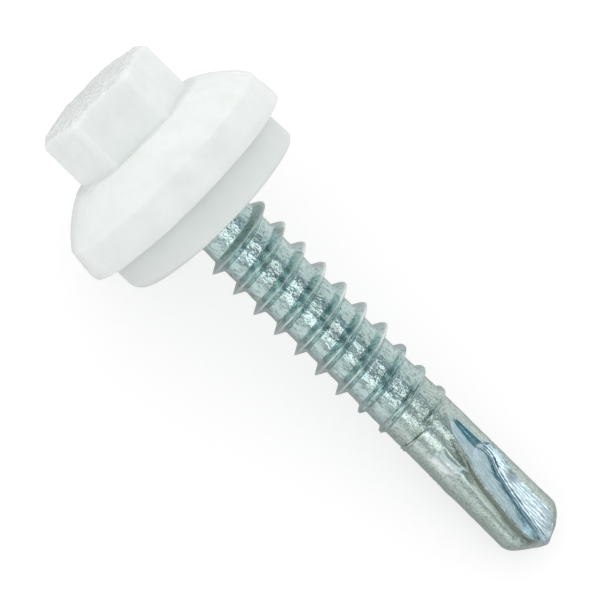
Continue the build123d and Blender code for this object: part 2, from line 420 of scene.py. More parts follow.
class SteelScrew:
    """The shape of the zinc-plated screw, worked out from its sizes."""

    def __init__(self, sizes):
        self.sizes = sizes
        self.root = sizes.root_diameter / 2
        self.tip_z = -sizes.point_length
        self.thread_top = -sizes.thread_start
        self.fade_z = self.thread_top - sizes.run_in - sizes.full_thread
        self.thread_end = self.fade_z - sizes.run_out
        self.slope = tan(sizes.flank_angle / 2)

    def body_radius(self, z, azimuth=0.0):
        """Radius of the shank and the drill body, without thread and flutes."""
        sizes = self.sizes
        neck, drill = sizes.neck_diameter / 2, sizes.drill_diameter / 2
        if z > self.fade_z:
            return self.root
        if z > self.thread_end:
            share = smooth_step((self.fade_z - z) / sizes.run_out)
            return self.root + (neck - self.root) * share
        share = (self.thread_end - z) / (self.thread_end - self.tip_z)
        straight = neck + (drill - neck) * share
        height = (z - self.tip_z) / MM
        right = (1 + cos(azimuth)) / 2
        end = (end_left(height) * (1 - right) + end_right(height) * right) * MM
        return min(straight, end)

    def thread_radius(self, azimuth, z):
        """Radius of the threaded shank. A crest that isn't full is lower and blunter."""
        sizes = self.sizes
        body = self.body_radius(z, azimuth)
        turns = (z + sizes.crest_depth) / sizes.pitch - azimuth / TURN
        crest_z = (round(turns) + azimuth / TURN) * sizes.pitch - sizes.crest_depth
        uneven = noise.noise(Vector((cos(azimuth), sin(azimuth), crest_z / MM)) * UNEVENNESS)
        from_end = crest_z - self.thread_end
        faint = FAINT_RISE * (1 + 2 * uneven) * smooth_step(from_end / MM + FAINT_LENGTH)
        rise = min((self.thread_top - crest_z) / sizes.run_in,
                   max(fading_rise(from_end / sizes.run_out), faint), 1)
        if rise <= 0:
            return body
        full = sizes.thread_diameter / 2
        crest = body + (full - body) * rise
        crest_half = sizes.crest_width / 2 + BLUNTING * self.slope * (full - crest) * (1 - faint)
        flank = crest - (abs(z - crest_z) - crest_half) / self.slope
        ridge = soft_lesser(crest + CREST_GAIN * MM, flank, CREST_ROUNDING * MM)
        if crest_z < self.fade_z:
            across = (z - crest_z) / (SEAM_SHARE * crest_half)
            open_here = smooth_step((1 - rise) / SEAM_CLOSES) * smooth_step(rise / SEAM_OPENS)
            ridge -= CREST_SEAM * MM * open_here * (0.7 + uneven) * exp(-across * across)
        return soft_greater(body, ridge, ROOT_FILLET * MM * min(2 * rise, 1))


def threaded_shank(shape):
    """A mesh of the threaded shank and a little more: its rows of points run along the crests."""
    sizes = shape.sizes
    half_pitch = sizes.pitch / 2
    offsets = [step * MM for step in PROFILE_STEPS] + [half_pitch]
    offsets = [-offset for offset in reversed(offsets[1:])] + offsets
    lowest = floor((shape.thread_end + sizes.crest_depth) / sizes.pitch) - 2
    turns = ceil((shape.thread_top + sizes.crest_depth) / sizes.pitch) + 1 - lowest
    mesh = bmesh.new()
    first_crest = lowest * sizes.pitch - sizes.crest_depth
    line = [mesh.verts.new((shape.root, 0, first_crest + offset)) for offset in offsets]
    edges = [mesh.edges.new(pair) for pair in zip(line, line[1:])]
    bmesh.ops.spin(mesh, geom=line + edges, cent=(0, 0, 0), axis=(0, 0, 1), angle=TURN,
                   dvec=(0, 0, sizes.pitch / RING_POINTS), steps=RING_POINTS)
    one_turn = mesh.verts[:] + mesh.edges[:] + mesh.faces[:]
    for turn in range(1, turns):
        copy = bmesh.ops.duplicate(mesh, geom=one_turn)["geom"]
        moved = [part for part in copy if isinstance(part, bmesh.types.BMVert)]
        bmesh.ops.translate(mesh, verts=moved, vec=(0, 0, turn * sizes.pitch))
    bmesh.ops.remove_doubles(mesh, verts=mesh.verts, dist=SMALLEST)
    return mesh


def trim(mesh, z, radius, above):
    """Cuts the shank square at a height, and returns the cut's points, evenly spaced, in order."""
    everything = mesh.verts[:] + mesh.edges[:] + mesh.faces[:]
    cut = bmesh.ops.bisect_plane(mesh, geom=everything, plane_co=(0, 0, z), plane_no=(0, 0, 1),
                                 clear_outer=above, clear_inner=not above)["geom_cut"]
    rim = [part for part in cut if isinstance(part, bmesh.types.BMVert)]

    def turned_by(vertex):
        return round(atan2(vertex.co.y, vertex.co.x) / TURN * RING_POINTS)

    for vertex in rim:
        vertex.co = polar(radius, turned_by(vertex) * TURN / RING_POINTS, z)
    bmesh.ops.remove_doubles(mesh, verts=rim, dist=SMALLEST)
    return sorted((vertex for vertex in rim if vertex.is_valid),
                  key=lambda vertex: turned_by(vertex) % RING_POINTS)


def point_at_radius(inner, outer, radius):
    """Where the line from an inner to an outer point reaches a radius."""
    if inner.length >= radius:
        return inner.normalized() * radius
    step = outer - inner
    across, along, rest = step.dot(step), inner.dot(step), inner.dot(inner) - radius * radius
    return inner + step * ((sqrt(along * along - across * rest) - along) / across)


def between(first, last, count):
    return [first.lerp(last, index / count) for index in range(count)]


def pinched(azimuth, height):
    """How far inside the pinched flat a point of the land lies, from 0 to 1."""
    pinch_azimuth, pinch_height, half_width, half_height = PINCH
    across = round_land(azimuth, pinch_azimuth) / half_width
    along = (height - pinch_height) / half_height
    ragged = PINCH_EDGE * noise.noise(Vector((across * 2, along * 3, 0)))
    outline = max(abs(across), abs(along), -0.8 * across - along)
    return smooth_step((1 - outline + ragged) / PINCH_EDGE)


def round_land(azimuth, mark_degrees):
    """How far round the land an azimuth is from a mark's azimuth in degrees, in millimetres."""
    return ((azimuth - radians(mark_degrees) + pi) % TURN - pi) * LAND_RADIUS


def land_rise(azimuth, height, from_heel):
    """What stands above or below the drill's plain land, in millimetres."""
    rise = heel_bead(from_heel) * bead_height(height)
    for mark_azimuth, mark_height, mark_rise, half_width, half_height in LAND_MARKS:
        across = round_land(azimuth, mark_azimuth) / half_width
        along = (height - mark_height) / half_height
        rise += mark_rise * exp(-across * across - along * along)
    rise -= PINCH_DEPTH * pinched(azimuth, height)
    away = abs(round_land(azimuth, SEAM_AZIMUTH))
    ragged = 0.7 + 0.6 * noise.noise(Vector((0, 0, height * SEAM_WAVES)))
    return rise + seam_height(height) * ragged * max(1 - away / SEAM_WIDTH, 0)


def held_within(point, radius):
    point = point.copy()
    point.length = min(point.length, radius)
    return point


def drill_outline(shape, height):
    """The drill's section: land, heel wall, floor and lip wall, and the same again half a turn on.

    Each point comes with how milled, darker, shade-filmed and bright the surface is there: the
    darker plate marks the groove behind the bead and painted shade on the pinched flat, the shade
    film is painted shade, and the bright plate is the flat's rubbed finish with a painted
    highlight."""
    z = shape.tip_z + height * MM
    full = shape.sizes.drill_diameter / 2
    cut = height < FLUTE_START
    narrow = height > NOTCH
    outline = []
    for side in (0, pi):
        # the land, from this side's lip round to the far flute's heel
        heel_at, lip_at = radians(heel_azimuth(height)) + side, radians(lip_azimuth(height)) + side
        heel_edge, lip_edge = -polar(full, heel_at).xy, polar(full, lip_at).xy
        heel_radius = shape.body_radius(z, heel_at + pi)
        turned = Matrix.Rotation(side, 2)
        valley = -(turned @ Vector((valley_x(height), valley_y(height)))) * MM
        crease = -(turned @ Vector((crease_x(height), crease_y(height)))) * MM
        lip = point_at_radius(-crease if cut else lip_edge, lip_edge, shape.body_radius(z, lip_at))
        heel = point_at_radius(valley if cut else heel_edge, heel_edge, heel_radius)
        start = atan2(lip.y, lip.x)
        sweep = (atan2(heel.y, heel.x) - start) % TURN
        for index in range(LAND_POINTS):
            share = index / LAND_POINTS
            share += LAND_CROWDING * share * (1 - share) if cut else 0
            azimuth = start + sweep * share
            from_heel = sweep * (1 - share) * full / MM
            radius = shape.thread_radius(azimuth, z) + land_rise(azimuth, height, from_heel) * MM
            rubbed = pinched(azimuth, height)
            # The pinched flat's side towards the heel gets painted shade, as darker plate and the
            # shade film. Beside the heel the groove is darker.
            dull = smooth_step(round_land(azimuth, DARKENED_FROM) / DARKENED_OVER + 0.5)
            darker_zinc = max(heel_darkening(from_heel) * bead_height(height), PINCH_DARKENING * rubbed * dull)
            outline.append((polar(radius, azimuth).xy, PINCH_MILLED * rubbed * dull, darker_zinc,
                            PINCH_SHADE_FILM * rubbed * dull, rubbed * (1 - dull)))
        # the far flute, or the plain steel above it
        next_lip = lip_at + pi
        if not cut:
            count = RING_POINTS // 2 - LAND_POINTS
            left = (next_lip - start - sweep) % TURN
            azimuths = [start + sweep + left * index / count for index in range(count)]
            outline += [(polar(shape.body_radius(z, azimuth), azimuth).xy, 0, 0, 0, 0)
                        for azimuth in azimuths]
            continue
        valley, crease = held_within(valley, heel_radius), held_within(crease, heel_radius)
        next_lip_point = point_at_radius(crease, polar(full, next_lip).xy,
                                         shape.body_radius(z, next_lip))
        outline += [(point, 1, 0, HEEL_SHADE_FILM, 0)
                    for point in between(heel, valley, HEEL_WALL_POINTS)]
        sag = Vector((crease.y - valley.y, valley.x - crease.x)) * FLOOR_SAG
        for index in range(FLOOR_POINTS):
            share = index / FLOOR_POINTS
            point = valley.lerp(crease, share) - sag * 4 * share * (1 - share)
            shade_film = valley_shade_film(height) if share < BAND_SHARE or narrow else FLOOR_SHADE_FILM
            outline.append((held_within(point, heel_radius), 1, 0, shade_film, 0))
        for index, point in enumerate(between(crease, next_lip_point, LIP_WALL_POINTS)):
            in_patch = index / LIP_WALL_POINTS > PATCH_SHARE or narrow
            outline.append((point, 1, 0, lip_shade_film(height) if in_patch else 0, 0))
    return outline


CALMED = 0.8  # of the unevenness, taken away where the surface is smooth


def roughen(vertices, waves, seed, smooth=()):
    """Moves points along their normals by smooth noise: waves of (wavelength, rise) in mm.

    Where a vertex layer in smooth is 1, they move little."""
    for vertex in vertices:
        vertex.normal_update()
    shift = Vector((seed, seed * 2, seed * 3))
    moves = []
    for vertex in vertices:
        rise = sum(high * noise.noise(vertex.co / (MM * wave) + shift) for wave, high in waves)
        calm = max([vertex[layer] for layer in smooth], default=0)
        moves.append(vertex.normal * rise * (1 - CALMED * calm) * MM)
    for vertex, move in zip(vertices, moves):
        vertex.co += move


def build_steel_screw(sizes):
    shape = SteelScrew(sizes)
    mesh = threaded_shank(shape)
    milled, darkened, shade_filmed, forged, streaked, pressed, burnish_and_highlight = [
        mesh.verts.layers.float.new(name) for name in SURFACE_LAYERS]
    for vertex in mesh.verts:
        azimuth, z = atan2(vertex.co.y, vertex.co.x), vertex.co.z
        radius = shape.thread_radius(azimuth, z)
        vertex.co = polar(radius, azimuth, z)
        height = (radius - shape.body_radius(z)) / MM
        vertex[pressed] = smooth_step(height / PRESSED_AT)
        # A painted highlight along the crests.
        vertex[burnish_and_highlight] = smooth_step((height - CREST_HIGHLIGHT_FROM) / CREST_HIGHLIGHT_OVER)
        vertex[forged] = smooth_step((shape.fade_z - z) / sizes.run_out * 2 - 1)
        vertex[streaked] = smooth_step((shape.fade_z + STREAKS_ABOVE * MM - z) / (2 * MM))
    lower_z = shape.tip_z + EVEN_RING * MM
    lower = trim(mesh, lower_z, shape.body_radius(lower_z), above=False)
    upper = trim(mesh, shape.thread_top + PLAIN_ABOVE * MM, shape.root, above=True)
    # the drill
    first = drill_outline(shape, EVEN_RING)[0][0]
    turned = round(atan2(first.y, first.x) % TURN / (TURN / RING_POINTS))
    ring = lower[turned:] + lower[:turned]
    for section in range(1, round(EVEN_RING / SECTION_STEP)):
        height = EVEN_RING - section * SECTION_STEP
        z = shape.tip_z + height * MM
        outline = drill_outline(shape, height)
        ring = grow(mesh, ring, [entry[0].to_3d() + Vector((0, 0, z)) for entry in outline])
        for vertex, (point, flute, darker_zinc, shade_film, rubbed) in zip(ring, outline):
            vertex[milled], vertex[darkened], vertex[shade_filmed] = flute, darker_zinc, shade_film
            vertex[forged], vertex[burnish_and_highlight] = 1 - RUBBED_SHINE * rubbed, rubbed
            vertex[streaked] = smooth_step((height - STREAKS_END) / STREAKS_OVER)
    close_ring(mesh, ring, Vector((0, 0, shape.tip_z)))
    roughen(mesh.verts, STEEL_WAVES, 3.7, (milled, pressed))
    # the shank, the collar and the hexagon inside the plastic
    azimuths = [index * TURN / RING_POINTS for index in range(RING_POINTS)]
    collar_top = sizes.collar_base + sizes.collar_thickness
    collar = sizes.collar_diameter / 2
    ring = upper
    for radius, z in ((shape.root, sizes.collar_base), (collar, sizes.collar_base),
                      (collar, collar_top)):
        ring = grow(mesh, ring, [polar(radius, azimuth, z) for azimuth in azimuths])
    for z in (collar_top, collar_top + sizes.core_height):
        ring = grow(mesh, ring, [polar(hexagon_radius(azimuth, sizes.core_width / 2, 0), azimuth, z)
                                 for azimuth in azimuths])
    close_ring(mesh, ring, Vector((0, 0, collar_top + sizes.core_height)))
    return finish_piece(mesh, "zinc_plated_screw", STEEL_SHARP)


# ---- the moulded head ----
HEAD_POINTS = 216
HEAD_AZIMUTHS = [index * TURN / HEAD_POINTS for index in range(HEAD_POINTS)]
REST_SLOPE = 0.19  # of the ground that the screw lies on, against its own axis

# In millimetres.
UNDERSIDE_FLAT = (3, 7)  # radii between which the flange's underside is flat
DROOPED_FROM = 7.5  # radius from which its rim hangs lower
RIM_TOP_EDGE = 0.09  # height of the worn edge between the rim's side and the flange's top
HEXAGON_FOOT = 0.1  # radius of the fillet round the hexagon's foot
FLATTENED = 0.4  # height above the underside up to which the rim may be worn by the ground

BELOW_END, ABOVE_LEDGE = 0.35, 0.5  # heights over which the hexagon's unevenness sets in
MIDDLE = 3  # radius over which the end's smoother middle fades out
WORN_IN = 0.01  # how far the rim's side is worn, at its lower edge

CALM_MIDDLE = 0.6  # how smooth the middle of the hexagon's end is
DOME_LEAN = 0.7  # how far the flange's dome leans out, and up, as a share of its rise
CROWN_POWER = 4  # the greater, the flatter the middle of the crown

# The moulding's unevenness, all over, on the hexagon and on its end: waves of (wavelength, rise).
MOULDED_WAVES = ((3.5, 0.035), (1.2, 0.012))
HEXAGON_WAVES = ((0.8, 0.025), (0.45, 0.012))
END_WAVES = ((0.9, 0.04), (0.5, 0.05), (0.32, 0.045))


def circle_ring(radius, z):
    return [polar(radius, azimuth, z) for azimuth in HEAD_AZIMUTHS]


def hexagon_ring(half_width, corner, z):
    return [polar(hexagon_radius(azimuth, half_width, corner), azimuth, z)
            for azimuth in HEAD_AZIMUTHS]


def spread(first, last, count):
    """Evenly spaced values from the first to the last."""
    return [first + (last - first) * index / (count - 1) for index in range(count)]


def head_cavity(head, steel):
    """Rings of the hollow that holds the steel core, from its closed end down to the underside."""
    collar_top = steel.collar_base + steel.collar_thickness
    half_core, collar = steel.core_width / 2, steel.collar_diameter / 2
    return [
        hexagon_ring(half_core, SMALLEST, collar_top + steel.core_height),
        hexagon_ring(half_core, SMALLEST, collar_top),
        circle_ring(collar, collar_top),
        circle_ring(collar, steel.collar_base),
        circle_ring(steel.root_diameter / 2, steel.collar_base),
        circle_ring(steel.root_diameter / 2, head.base),
    ]


def flange_rings(head):
    """Rings of the flange's outside, from the bore up to the foot of the hexagon."""
    rim, rounding = head.rim_diameter / 2, head.rim_edge_radius
    lowest = head.base - head.rim_droop
    inner, outer = UNDERSIDE_FLAT
    rings = [circle_ring(radius, head.base) for radius in spread(inner * MM, outer * MM, 6)]
    rings += [circle_ring(radius, lowest)
              for radius in spread(DROOPED_FROM * MM, rim - rounding, 4)]
    rings += [circle_ring(rim - rounding * (1 - sin(bend)), lowest + rounding * (1 - cos(bend)))
              for bend in spread(radians(15), radians(80), 6)]
    rim_top, ledge = head.rim_top_diameter / 2, head.ledge_diameter / 2
    for z in spread(lowest + rounding, head.rim_top - RIM_TOP_EDGE * MM, 12):
        share = (z - head.base) / (head.rim_top - head.base)
        rings.append(circle_ring(rim + (rim_top - rim) * share, z))
    for share in spread(0, 1, 22):
        lift = 4 * head.dome * share * (1 - share) * DOME_LEAN
        rings.append(circle_ring(rim_top + (ledge - rim_top) * share + lift,
                                 head.rim_top + (head.ledge - head.rim_top) * share + lift))
    return rings


def hexagon_rings(head):
    """Rings of the hexagon, from its foot to the crown of its end."""
    half, corner, rounding = head.width / 2, head.corner_radius, head.rim_rounding
    foot = HEXAGON_FOOT * MM
    outline = [(4 * foot, 0), (2 * foot, 0)]
    outline += [(foot * (1 - sin(bend)), foot * (1 - cos(bend))) for bend in spread(0, pi / 2, 4)]
    rings = [hexagon_ring(half + gap, corner + gap, head.ledge + rise) for gap, rise in outline]
    shoulder = head.top - rounding
    rings += [hexagon_ring(half, corner, z) for z in spread(head.ledge + 2 * foot, shoulder, 18)]
    for bend in spread(radians(15), radians(75), 5):
        gap = rounding * (1 - cos(bend))
        rings.append(hexagon_ring(half - gap, corner + gap, shoulder + rounding * sin(bend)))
    flat = half - rounding
    for share in spread(1, 0.04, 26):
        corner_now = min(corner + (1 - share) * flat, 0.98 * flat * share)
        rings.append(hexagon_ring(flat * share, corner_now,
                                  head.top + head.crown * (1 - share ** CROWN_POWER)))
    return rings


def build_moulded_head(head, steel):
    mesh = bmesh.new()
    calm, off_end, wrinkled = [mesh.verts.layers.float.new(name)
                               for name in ("calm", "off_end", "wrinkled")]
    cavity = head_cavity(head, steel)
    ring = bmesh.ops.create_circle(mesh, segments=HEAD_POINTS, radius=1)["verts"]
    for vertex, place in zip(ring, cavity[0]):
        vertex.co = place
    bmesh.ops.contextual_create(mesh, geom=ring)
    for places in cavity[1:]:
        ring = grow(mesh, ring, places)
    outside = []
    for places in flange_rings(head) + hexagon_rings(head):
        ring = grow(mesh, ring, places)
        outside += ring
    close_ring(mesh, ring, Vector((0, 0, head.top + head.crown)))
    bmesh.ops.triangulate(mesh, faces=[face for face in mesh.faces if len(face.verts) > 4])
    outside = [vertex for vertex in outside if vertex.is_valid]
    # The end is domed, so the hexagon's corners end lower than its flats.
    half = head.width / 2
    for vertex in outside:
        past_flat = (vertex.co.xy.length - half) / (half / cos(pi / 6) - half)
        high = smooth_step((vertex.co.z - head.top) / MM + 1)
        vertex.co.z -= head.corner_drop * max(past_flat, 0) * high
    # The mould left the hexagon dented, most of all round its end, and the flange a little wavy.
    for vertex in mesh.verts:
        on_end = smooth_step((vertex.co.z - head.top) / (BELOW_END * MM) + 1)
        on_hexagon = smooth_step((vertex.co.z - head.ledge) / (ABOVE_LEDGE * MM))
        from_axis = vertex.co.xy.length / (MIDDLE * MM)
        middle = CALM_MIDDLE * smooth_step(1.2 - from_axis) * on_end
        vertex[off_end], vertex[wrinkled] = 1 - on_end + middle, on_end
        vertex[calm] = 1 - on_hexagon
    roughen(outside, MOULDED_WAVES, 1.3)
    roughen(outside, HEXAGON_WAVES, 6.1, (calm,))
    roughen(outside, END_WAVES, 2.9, (off_end,))
    # The rim's lower edge is flattened where it stands on the ground.
    for vertex in outside:
        sloped = REST_SLOPE * max(head.base + FLATTENED * MM - vertex.co.z, 0)
        limit = head.rim_diameter / 2 - WORN_IN * MM - sloped
        vertex.co.xy *= limit / max(vertex.co.xy.length, limit)
    return finish_piece(mesh, "moulded_plastic_head", MOULDED_SHARP)


# ---- the sealing washer ----
WASHER_STEPS = 160
FACE_FROM = 2.6  # radius of the lower face's first ring round the bore, in millimetres
TOP_RINGS = (6, 3)  # radii between the outer edge of the top and the bore
FAR_WEAR = 0.4  # of the edge's wear on the -X side, on the +X side
WASHER_WAVES = ((3.2, 0.02), (0.9, 0.006))


def build_sealing_washer(sizes):
    mesh = bmesh.new()
    upper, lower, bore = sizes.upper_diameter / 2, sizes.lower_diameter / 2, sizes.bore / 2
    rounding, top = sizes.edge_radius, sizes.thickness
    profile = [(bore, z) for z in spread(top, 0, 4)]
    profile += [(radius, 0) for radius in spread(FACE_FROM * MM, lower - rounding, 14)]
    profile += [(lower - rounding * (1 - sin(bend)), rounding * (1 - cos(bend)))
                for bend in spread(radians(12), pi / 2, 8)]
    profile += [(lower + (upper - lower) * share, rounding + (top - rounding) * share)
                for share in spread(0.04, 1, 16)]
    profile += [(radius * MM, top) for radius in spread(*TOP_RINGS, 4)]
    line = [mesh.verts.new((radius, 0, z)) for radius, z in profile]
    edges = [mesh.edges.new((line[index - 1], line[index])) for index in range(len(line))]
    bmesh.ops.spin(mesh, geom=line + edges, cent=(0, 0, 0), axis=(0, 0, 1), angle=TURN,
                   steps=WASHER_STEPS, use_merge=True)
    for vertex in mesh.verts:
        radius, height = vertex.co.xy.length, vertex.co.z
        if radius < bore + SMALLEST:
            continue
        side = vertex.co.x / lower
        sunk = 1 - height / top
        # The edge is rounder on one side: points near it are drawn in towards the middle.
        round_here = rounding + sizes.wear * (max(-side, 0) ** 2 + FAR_WEAR * max(side, 0) ** 2)
        if lower - radius < round_here and height < round_here:
            centre = Vector((lower - round_here, round_here))
            away = Vector((radius, height)) - centre
            away.length = min(away.length, round_here)
            radius, height = centre + away
            vertex.co = vertex.co.xy.normalized().to_3d() * radius + Vector((0, 0, height))
        spread_out = smooth_step((radius - bore - SMALLEST) / (2 * MM))
        vertex.co.z -= sizes.bulge * sunk * (1 - side * side) * spread_out
        vertex.co.x += sizes.askew * sunk * spread_out
    roughen(mesh.verts, WASHER_WAVES, 8.3)
    return finish_piece(mesh, "soft_sealing_washer", MOULDED_SHARP)


# ---- materials ----
HELIX_CELLS = 1.8  # of streaks, in half a pitch


def add(tree, kind, inputs=None, take=0, **options):
    """Adds a shader node, sets its options, sets or links its inputs, and gives one output."""
    node = tree.nodes.new("ShaderNode" + kind)
    for option, value in options.items():
        setattr(node, option, value)
    for socket, value in (inputs or {}).items():
        if isinstance(value, bpy.types.NodeSocket):
            tree.links.new(value, node.inputs[socket])
        else:
            node.inputs[socket].default_value = value
    return node.outputs[take] if node.outputs else None


def new_material(name):
    material = bpy.data.materials.new(name)
    material.use_nodes = True
    material.node_tree.nodes.clear()
    return material, material.node_tree


def layered(tree, base, coats):
    """Lays colours over a base, each with how far it covers what is under it, from 0 to 1."""
    for cover, coat in coats:
        under, over = [value if isinstance(value, bpy.types.NodeSocket) else (*value, 1)
                       for value in (base, coat)]
        base = add(tree, "Mix", {"Factor": cover, "A": under, "B": over}, "Result",
                   data_type="RGBA")
    return base


def embossed(tree, reliefs):
    """The way that a surface faces under reliefs laid on each other: (height, strength, mm)."""
    below = {}
    for height, strength, depth in reliefs:
        below["Normal"] = add(tree, "Bump", {"Height": height, "Strength": strength,
                                             "Distance": depth * MM, **below})
    return below["Normal"]


def patterns(tree, table):
    """Noise patterns from 0 to 1. Each row has the coordinates that a pattern follows, its cells to
    the millimetre across and along them, and settings for its noise and for its range."""
    made = {}
    for name, (place, across, along, settings, limits) in table.items():
        drawn = add(tree, "Mapping", {"Vector": place,
                                      "Scale": (across / MM, across / MM, along / MM)})
        cells = add(tree, "TexNoise", {"Vector": drawn, "Scale": 1.0, **settings})
        made[name] = add(tree, "MapRange", {"Value": cells, **limits})
    return made


def zinc_plate(settings, axes):
    """Zinc plate over rolled and forged steel. The bright, bluish plate follows every hollow that
    rolling and forging left, so it sparkles. On the forged drill it is duller."""
    material, tree = new_material("zinc_plate")
    place = add(tree, "TexCoord", take="Object")
    own = add(tree, "Mapping", {"Vector": place, "Location": axes.translation,
                                "Rotation": axes.to_euler()}, vector_type="TEXTURE")
    mask = {name: add(tree, "Attribute", take="Fac", attribute_name=name)
            for name in SURFACE_LAYERS}
    pattern = patterns(tree, {
        # Where the plate is thicker: about 1 mm across.
        "tone": (place, 0.9, 0.9, {"Detail": 3.0}, {}),
        # Grey specks of about 0.2 mm, drawn out along the screw.
        "specks": (own, 4.2, 2.6, {"Detail": 3.0, "Roughness": 0.6},
                   {"From Min": 0.5, "From Max": 0.27, "To Max": 0.85}),
        # Patches that the forging die rubbed bright, 0.5 mm across and 1.2 mm long.
        "rubbed": (own, 1.9, 0.8, {"Detail": 5.0, "Roughness": 0.7},
                   {"From Min": 0.48, "From Max": 0.68}),
        # Pits of about 0.15 mm that it left.
        "pits": (place, 6.5, 6.5, {"Detail": 2.0},
                 {"From Min": 0.5, "From Max": 0.3, "To Max": 0.6}),
        # Mottling of the flute's walls along the cutter's lines, 0.2 mm across.
        "mottle": (own, 5.2, 1.5, {"Detail": 3.0, "Roughness": 0.7},
                   {"From Min": 0.38, "From Max": 0.62}),
        # Hollows of the rolled skin, 0.1 to 0.2 mm across.
        "grain": (place, 4.8, 4.8, {"Detail": 1.5}, {}),
        # Lines that the cutter left along the flute, about 0.1 mm apart.
        "lines": (own, 9.0, 0.5, {"Detail": 1.0}, {}),
    })
    forged = layered(tree, settings.forged, ((pattern["rubbed"], settings.bright_forged),
                                             (pattern["pits"], settings.darker_zinc)))
    milled = layered(tree, settings.milled_shade, ((pattern["mottle"], settings.milled),))
    # The painted shade film is speckled where the wall under it is mottled.
    speckled = add(tree, "MapRange", {"Value": pattern["mottle"], "From Min": 0.55, "To Min": 1.0,
                                      "To Max": 0.45})
    shade_filmed = add(tree, "Math", {0: mask["shade_filmed"], 1: speckled}, operation="MULTIPLY")
    # Of these coats, the shade film is painted shade, the darker zinc is painted shade on the
    # pinched flat, and the bright plate is a painted highlight on the crests.
    plate = layered(tree, settings.plate, (
        (pattern["tone"], settings.plate_shade), (pattern["specks"], settings.darker_zinc),
        (mask["forged"], forged), (mask["darkened"], settings.darker_zinc), (mask["milled"], milled),
        (shade_filmed, settings.shade_film), (mask["burnish_and_highlight"], settings.burnish_and_highlight)))
    # The rolling dies drew streaks along the thread where it fades, about 0.16 mm apart: noise
    # that turns with the helix and drifts slowly along it.
    x, y, z = [add(tree, "SeparateXYZ", {0: own}, axis) for axis in "XYZ"]
    azimuth = add(tree, "Math", {0: y, 1: x}, operation="ARCTAN2")
    turned = add(tree, "Math", {0: z, 1: TURN / settings.pitch}, operation="MULTIPLY")
    turned = add(tree, "Math", {0: turned, 1: azimuth}, operation="SUBTRACT")
    around = [add(tree, "Math", {0: turned}, operation=kind) for kind in ("COSINE", "SINE")]
    helix = add(tree, "CombineXYZ", {"X": around[0], "Y": around[1]})
    helix = add(tree, "VectorMath", {0: helix, "Scale": HELIX_CELLS}, operation="SCALE")
    drift = add(tree, "VectorMath", {0: own, "Scale": 0.9 / MM}, operation="SCALE")
    helix = add(tree, "VectorMath", {0: helix, 1: drift}, operation="ADD")
    streaks = add(tree, "TexNoise", {"Vector": helix, "Scale": 1.0, "Detail": 2.0})
    smooth = add(tree, "Math", {0: mask["milled"], 1: mask["pressed"]}, operation="MAXIMUM")
    grained = add(tree, "MapRange", {"Value": smooth, "To Min": 1.0, "To Max": 0.2})
    normal = embossed(tree, ((pattern["grain"], grained, 0.05),
                             (pattern["lines"], mask["milled"], 0.012),
                             (streaks, mask["streaked"], 0.07)))
    rough = add(tree, "MapRange", {"Value": mask["forged"], "To Min": 0.17, "To Max": 0.25})
    rough = add(tree, "MapRange", {"Value": mask["milled"], "To Min": rough, "To Max": 0.12})
    shader = add(tree, "BsdfPrincipled", {"Base Color": plate, "Metallic": 1.0,
                                          "Roughness": rough, "Normal": normal})
    add(tree, "OutputMaterial", {"Surface": shader})
    return material


def milky_plastic(name, settings):
    """Soft, unpigmented plastic. Light goes about half a millimetre into it and it is slightly
    cloudy, so its shading is soft. Its moulded skin has a low gloss with fine ripples."""
    material, tree = new_material(name)
    place = add(tree, "TexCoord", take="Object")
    wrinkled = add(tree, "Attribute", take="Fac", attribute_name="wrinkled")
    pattern = patterns(tree, {
        # Clouds about 2 mm across, with smaller ones in them.
        "clouds": (place, 0.5, 0.5, {"Detail": 4.0, "Roughness": 0.6},
                   {"From Min": 0.35, "From Max": 0.65}),
        # Ripples of the skin, 0.3 to 1 mm apart.
        "ripples": (place, 1.1, 1.1, {"Detail": 3.0}, {}),
        # Wrinkles of the hexagon's end, 0.2 to 0.4 mm apart, where the mould chilled it.
        "wrinkles": (place, 2.6, 2.6, {"Detail": 3.0, "Distortion": 0.6}, {}),
    })
    shader = add(tree, "BsdfPrincipled", {
        "Base Color": layered(tree, settings.clear, ((pattern["clouds"], settings.milky),)),
        "Roughness": settings.roughness, "Subsurface Weight": 0.6,
        "Subsurface Radius": (1.0, 1.0, 1.0), "Subsurface Scale": 0.5 * MM,
        "Normal": embossed(tree, ((pattern["ripples"], 0.6, 0.06),
                                  (pattern["wrinkles"], wrinkled, 0.3)))})
    add(tree, "OutputMaterial", {"Surface": shader})
    return material


# ---- operators ----
class BuildSteelScrew(bpy.types.Operator):
    """Builds the zinc-plated steel screw: thread, fluted drill point and moulded-in core"""
    bl_idname = "roofing_screw.steel_screw"
    bl_label = "Zinc-plated steel screw"

    def execute(self, context):
        steel = context.scene.roofing_screw.steel
        piece = build_steel_screw(steel)
        piece.data.materials.append(zinc_plate(steel, screw_axes()))
        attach(piece, "root")
        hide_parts("self_drilling_screw")
        return {"FINISHED"}


class BuildMouldedHead(bpy.types.Operator):
    """Builds the plastic hexagon head with its domed flange"""
    bl_idname = "roofing_screw.moulded_head"
    bl_label = "Moulded plastic head"

    def execute(self, context):
        head = context.scene.roofing_screw.head
        piece = build_moulded_head(head, context.scene.roofing_screw.steel)
        piece.data.materials.append(milky_plastic("moulded_polyethylene", head))
        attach(piece, "root")
        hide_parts("moulded_head")
        return {"FINISHED"}


class BuildSealingWasher(bpy.types.Operator):
    """Builds the soft washer that seals the hole"""
    bl_idname = "roofing_screw.sealing_washer"
    bl_label = "Soft sealing washer"

    def execute(self, context):
        washer = context.scene.roofing_screw.washer
        piece = build_sealing_washer(washer)
        piece.data.materials.append(milky_plastic("thermoplastic_rubber", washer))
        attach(piece, "root")
        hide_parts("sealing_washer")
        return {"FINISHED"}


